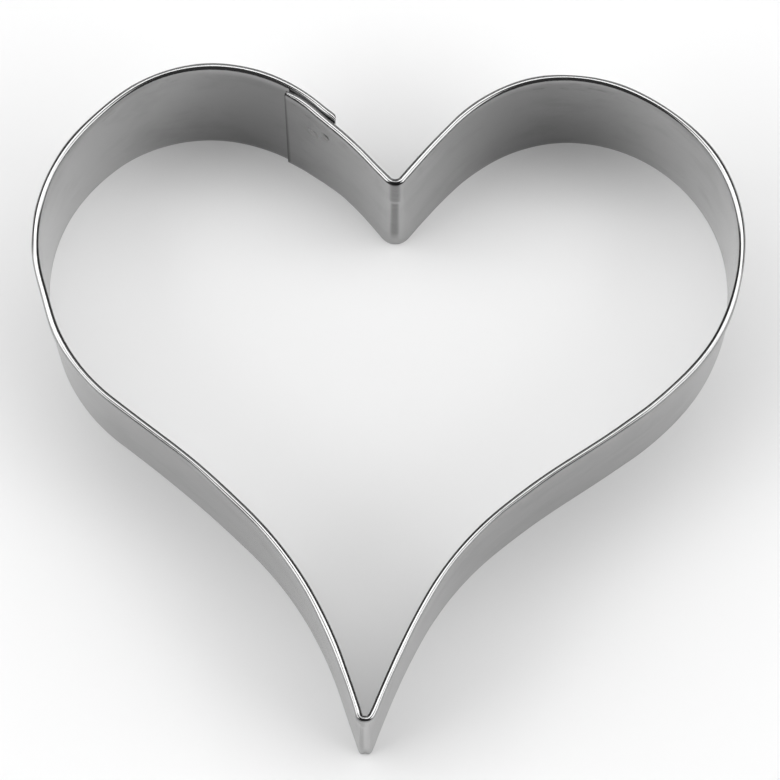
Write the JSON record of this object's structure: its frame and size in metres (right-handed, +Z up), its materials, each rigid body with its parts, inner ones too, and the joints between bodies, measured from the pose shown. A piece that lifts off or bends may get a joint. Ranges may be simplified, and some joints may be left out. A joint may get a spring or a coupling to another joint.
{
  "type": "cookie cutter",
  "caption": "Heart-shaped cutter bent from a hemmed strip of thin bright steel, with its ends lapped and spot welded on one lobe",
  "frame": {"origin": "middle of the cutter's plan box, on the plane that the cutting edge stands on", "axes": "+Z up from the cutting edge to the hemmed rim, +Y from the heart's tip to its notch and lobes, +X to the right seen from above with the tip towards the viewer"},
  "size_m": [0.1024, 0.0972, 0.025],
  "materials": {
    "bright_steel": "bright rolled stainless steel sheet with a fine lengthwise grain",
    "weld_metal": "dull pressed dimple of a resistance spot weld"
  },
  "bodies": {
    "root": {"cutter_band": "bright_steel", "weld_nuggets": "weld_metal"}
  },
  "joints": []
}
